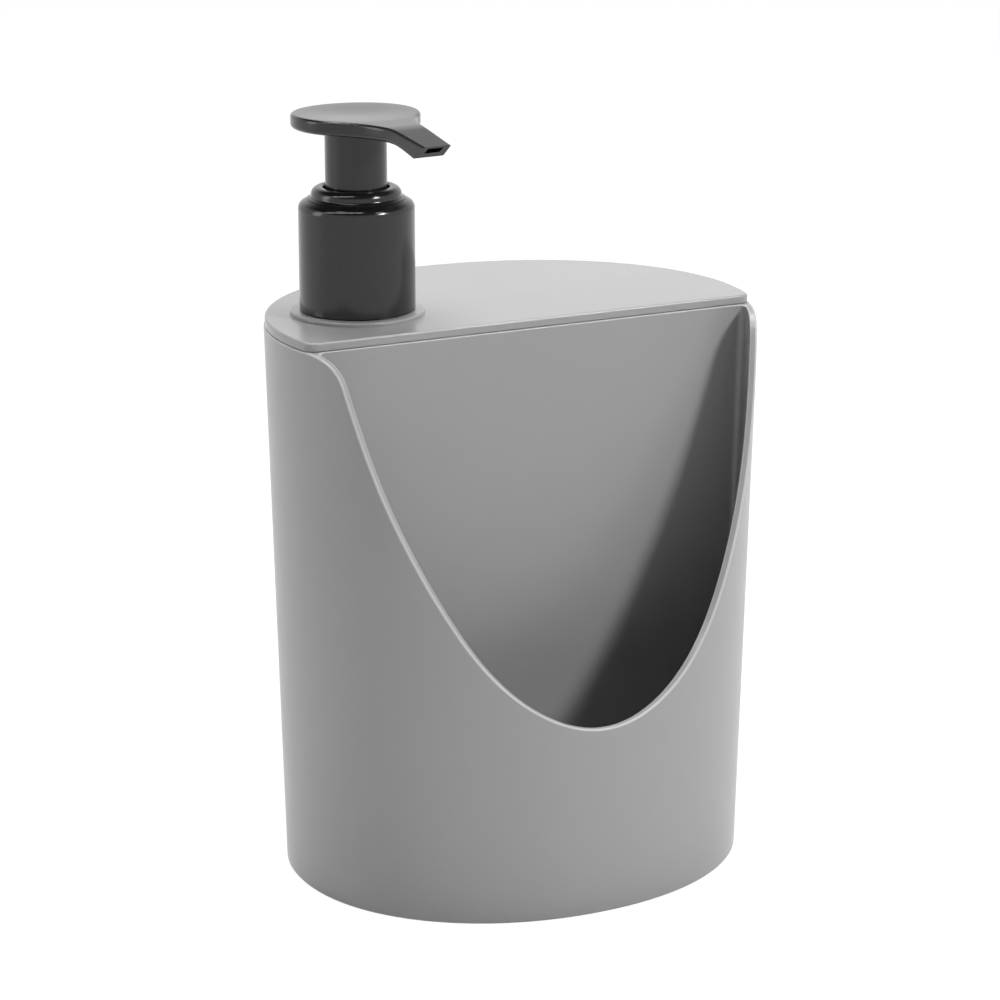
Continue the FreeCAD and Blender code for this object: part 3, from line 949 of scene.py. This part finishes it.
# White all round to the camera. In reflections the white walls fade out between
# about 20 and 40 degrees up and the ceiling is nearly dark, so rounded black
# edges carry fine lines. Diffuse light gets only a weak fill from the room
world = bpy.data.worlds.new("studio")
bpy.context.scene.world = world
world.use_nodes = True
tree = world.node_tree
tree.nodes.clear()
path = add_node(tree, "ShaderNodeLightPath")
way = add_node(tree, "ShaderNodeTexCoord")
height = add_node(tree, "ShaderNodeSeparateXYZ", None, Vector=way.outputs["Generated"])
walls = add_node(tree, "ShaderNodeMapRange",
                 {"From Min": wall_fade_start, "From Max": wall_fade_end,
                  "To Min": wall_light, "To Max": ceiling_light}, Value=height.outputs["Z"])
fill = add_node(tree, "ShaderNodeBackground", {"Color": white_light, "Strength": fill_light})
room = add_node(tree, "ShaderNodeBackground", {"Color": white_light},
                Strength=walls.outputs["Result"])
white = add_node(tree, "ShaderNodeBackground", {"Color": white_light, "Strength": camera_white})
in_gloss = mix_shaders(tree, path.outputs["Is Glossy Ray"], fill.outputs[0], room.outputs[0])
direct = mix_shaders(tree, path.outputs["Is Camera Ray"], in_gloss, white.outputs[0])
add_node(tree, "ShaderNodeOutputWorld", None, Surface=direct)

# The floor glows white to the camera, in gloss and through clear matter, and
# still takes the object's shadow; to diffuse light it is pale matt paint
floor_mesh = bpy.data.meshes.new("floor")
floor_mesh.from_pydata([(-floor_half, -floor_half, 0), (floor_half, -floor_half, 0),
                        (floor_half, floor_half, 0), (-floor_half, floor_half, 0)],
                       [], [(0, 1, 2, 3)])
floor = bpy.data.objects.new("floor", floor_mesh)
bpy.context.scene.collection.objects.link(floor)
floor_paint, tree = new_material("pale_studio_floor")
path = add_node(tree, "ShaderNodeLightPath")
seen = larger(tree, path.outputs["Is Camera Ray"], path.outputs["Is Glossy Ray"])
seen = larger(tree, seen, path.outputs["Is Transmission Ray"])
paint = add_node(tree, "ShaderNodeBsdfDiffuse", {"Color": linear("#E8E8E8")})
glow = add_node(tree, "ShaderNodeEmission", {"Color": white_light, "Strength": floor_glow})
shaded = add_node(tree, "ShaderNodeBsdfDiffuse", {"Color": floor_shadow})
white_floor = add_node(tree, "ShaderNodeAddShader")
tree.links.new(glow.outputs[0], white_floor.inputs[0])
tree.links.new(shaded.outputs[0], white_floor.inputs[1])
floor_look = mix_shaders(tree, seen, paint.outputs[0], white_floor.outputs[0])
add_node(tree, "ShaderNodeOutputMaterial", None, Surface=floor_look)
floor.data.materials.append(floor_paint)


def lamp(name, place, aim, size, power):
    light = bpy.data.lights.new(name, "AREA")
    light.shape = "RECTANGLE"
    light.size, light.size_y = size
    light.energy = power
    obj = bpy.data.objects.new(name, light)
    obj.location = place
    obj.rotation_euler = (Vector(aim) - Vector(place)).to_track_quat("-Z", "Y").to_euler()
    bpy.context.scene.collection.objects.link(obj)
    return obj


# A small key light from the front right, a wide one overhead, and a strip that
# lights the left edge
middle = (0, 0, 0.09)
lamp("key", (0.62, -0.98, 0.88), middle, size=(0.24, 0.24), power=11)
lamp("overhead", (0.1, 0.25, 1.3), middle, size=(0.9, 0.7), power=17)
lamp("left_edge", (-1.1, 0.35, 0.45), middle, size=(0.4, 0.9), power=3)

# Long card over the front, seen only in gloss: the fine level lines on the pump
pump_middle = (-0.035, 0.012, 0.16)
card = lamp("front_card", (-0.207, -0.34, 1.24), pump_middle, size=(2.4, 0.08), power=11)
card.visible_diffuse = False

# The photograph's view: a long lens, from the front left and a little above
camera_data = bpy.data.cameras.new("camera")
camera_data.lens = 120.39
camera_data.sensor_width = 36
camera = bpy.data.objects.new("camera", camera_data)
camera.location = (-0.34216, -0.68668, 0.31251)
heading = math.radians(-26.27)
pitch = math.radians(16.32)
camera.rotation_euler = (math.pi / 2 - pitch, 0, heading)
bpy.context.scene.collection.objects.link(camera)
bpy.context.scene.camera = camera
bpy.context.scene.view_settings.view_transform = "Standard"
